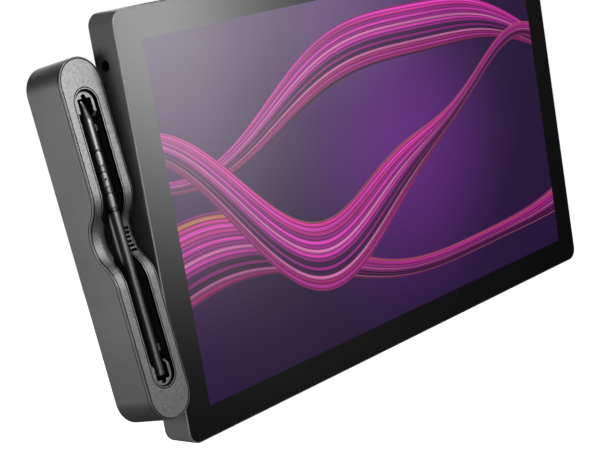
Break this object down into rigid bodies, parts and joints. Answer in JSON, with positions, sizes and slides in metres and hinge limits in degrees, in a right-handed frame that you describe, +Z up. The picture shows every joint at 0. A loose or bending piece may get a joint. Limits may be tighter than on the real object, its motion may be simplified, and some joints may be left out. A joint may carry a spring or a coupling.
{
  "type": "graphics tablet with screen",
  "caption": "Flat drawing display with a bordered glass screen, rear keys and bolt pattern, and a tilting side tray that holds a cordless pen with buttons and spare nibs.",
  "frame": {"origin": "centre of the rear bolt pattern, on the rear face of the display", "axes": "+X to the right seen from the front, +Y out of the rear face, +Z up; the screen faces -Y"},
  "size_m": [0.4527, 0.0582, 0.252],
  "materials": {
    "frame_metal": "dark grey satin paint",
    "cover_glass": "etched anti-glare glass with a black printed border",
    "picture_panel": "picture panel",
    "light_guide": "white light guide",
    "circuit_board": "green solder resist",
    "shield_metal": "bare sheet",
    "rear_plastic": "fine moulded grain",
    "insert_metal": "blackened steel",
    "socket_metal": "plated shell",
    "socket_plastic": "black plastic",
    "foot_rubber": "matte rubber",
    "screw_metal": "blackened steel",
    "key_plastic": "satin black",
    "washer_plastic": "slick black plastic",
    "tray_shell": "dark grey satin paint, fine grain",
    "tray_plate": "grey satin paint",
    "tub_plastic": "matte black",
    "spare_nib": "dark plastic",
    "pen_barrel": "satin black",
    "pen_ring": "gloss ring",
    "pen_nib": "grey plastic",
    "coil_copper": "enamelled wire",
    "pen_button": "satin black"
  },
  "bodies": {
    "display": {"left_rail": "frame_metal", "right_rail": "frame_metal", "top_rail": "frame_metal", "bottom_rail": "frame_metal", "cover_glass": "cover_glass", "lcd_panel": "picture_panel", "backlight_unit": "light_guide", "pen_sensor_board": "circuit_board", "shield_plate": "shield_metal", "main_board": "circuit_board", "heat_sink": "shield_metal", "rear_cover": "rear_plastic", "port_bay": "rear_plastic", "vesa_inserts": "insert_metal", "accessory_inserts": "insert_metal", "video_socket": "socket_metal", "data_sockets": "socket_metal", "power_socket": "socket_plastic", "left_key_board": "circuit_board", "right_key_board": "circuit_board", "rubber_feet": "foot_rubber", "cover_screws": "screw_metal", "switch_board": "circuit_board", "pivot_washer": "washer_plastic", "pivot_screw": "screw_metal"},
    "tray": {"tray_shell": "tray_shell", "tray_front_plate": "tray_plate", "slot_trim": "tray_plate", "tray_tub": "tub_plastic", "upper_pen_rest": "tray_plate", "lower_pen_rest": "tray_plate", "nib_holder": "tub_plastic", "spare_nibs": "spare_nib"},
    "pen": {"pen_rear_barrel": "pen_barrel", "pen_middle_barrel": "pen_barrel", "pen_ring": "pen_ring", "pen_front_barrel": "pen_barrel", "pen_nose": "pen_barrel", "pen_coil": "coil_copper", "pen_core": "pen_barrel", "pen_circuit_board": "circuit_board"},
    "left_key_1": {"left_key_1": "key_plastic"},
    "left_key_2": {"left_key_2": "key_plastic"},
    "left_key_3": {"left_key_3": "key_plastic"},
    "left_key_4": {"left_key_4": "key_plastic"},
    "pen_lower_button": {"pen_lower_button": "pen_button"},
    "pen_middle_button": {"pen_middle_button": "pen_button"},
    "pen_nib": {"pen_nib": "pen_nib"},
    "pen_upper_button": {"pen_upper_button": "pen_button"},
    "power_button": {"power_button": "key_plastic"},
    "right_key_1": {"right_key_1": "key_plastic"},
    "right_key_2": {"right_key_2": "key_plastic"},
    "right_key_3": {"right_key_3": "key_plastic"},
    "right_key_4": {"right_key_4": "key_plastic"},
    "touch_switch": {"touch_switch": "key_plastic"}
  },
  "joints": [
    {"name": "tray_tilt", "type": "hinge", "parent": "display", "child": "tray", "pos_m": [-0.21075, -0.0095, -0.0375], "axis": [1, 0, 0], "range_deg": [-37.2, 52.8]},
    {"name": "pen_lift", "type": "slide", "parent": "tray", "child": "pen", "axis": [0, -0.9907, 0.1364], "range_m": [0, 0.04]},
    {"name": "nib_press", "type": "slide", "parent": "pen", "child": "pen_nib", "axis": [0, -0.1364, -0.9907], "range_m": [0, 0.0005], "stiffness_N_per_m": 2000},
    {"name": "pen_upper_button_press", "type": "slide", "parent": "pen", "child": "pen_upper_button", "axis": [0.342, 0.9309, -0.1282], "range_m": [0, 0.00035], "stiffness_N_per_m": 2500},
    {"name": "pen_middle_button_press", "type": "slide", "parent": "pen", "child": "pen_middle_button", "axis": [0.342, 0.9309, -0.1282], "range_m": [0, 0.00035], "stiffness_N_per_m": 2500},
    {"name": "pen_lower_button_press", "type": "slide", "parent": "pen", "child": "pen_lower_button", "axis": [0.342, 0.9309, -0.1282], "range_m": [0, 0.00035], "stiffness_N_per_m": 2500},
    {"name": "left_key_1_press", "type": "slide", "parent": "display", "child": "left_key_1", "axis": [0, -1, 0], "range_m": [0, 0.0008], "stiffness_N_per_m": 1800},
    {"name": "left_key_2_press", "type": "slide", "parent": "display", "child": "left_key_2", "axis": [0, -1, 0], "range_m": [0, 0.0008], "stiffness_N_per_m": 1800},
    {"name": "left_key_3_press", "type": "slide", "parent": "display", "child": "left_key_3", "axis": [0, -1, 0], "range_m": [0, 0.0008], "stiffness_N_per_m": 1800},
    {"name": "left_key_4_press", "type": "slide", "parent": "display", "child": "left_key_4", "axis": [0, -1, 0], "range_m": [0, 0.0008], "stiffness_N_per_m": 1800},
    {"name": "right_key_1_press", "type": "slide", "parent": "display", "child": "right_key_1", "axis": [0, -1, 0], "range_m": [0, 0.0008], "stiffness_N_per_m": 1800},
    {"name": "right_key_2_press", "type": "slide", "parent": "display", "child": "right_key_2", "axis": [0, -1, 0], "range_m": [0, 0.0008], "stiffness_N_per_m": 1800},
    {"name": "right_key_3_press", "type": "slide", "parent": "display", "child": "right_key_3", "axis": [0, -1, 0], "range_m": [0, 0.0008], "stiffness_N_per_m": 1800},
    {"name": "right_key_4_press", "type": "slide", "parent": "display", "child": "right_key_4", "axis": [0, -1, 0], "range_m": [0, 0.0008], "stiffness_N_per_m": 1800},
    {"name": "power_press", "type": "slide", "parent": "display", "child": "power_button", "axis": [0, 0, -1], "range_m": [0, 0.0006], "stiffness_N_per_m": 2500},
    {"name": "touch_slide", "type": "slide", "parent": "display", "child": "touch_switch", "axis": [1, 0, 0], "range_m": [0, 0.003]}
  ]
}
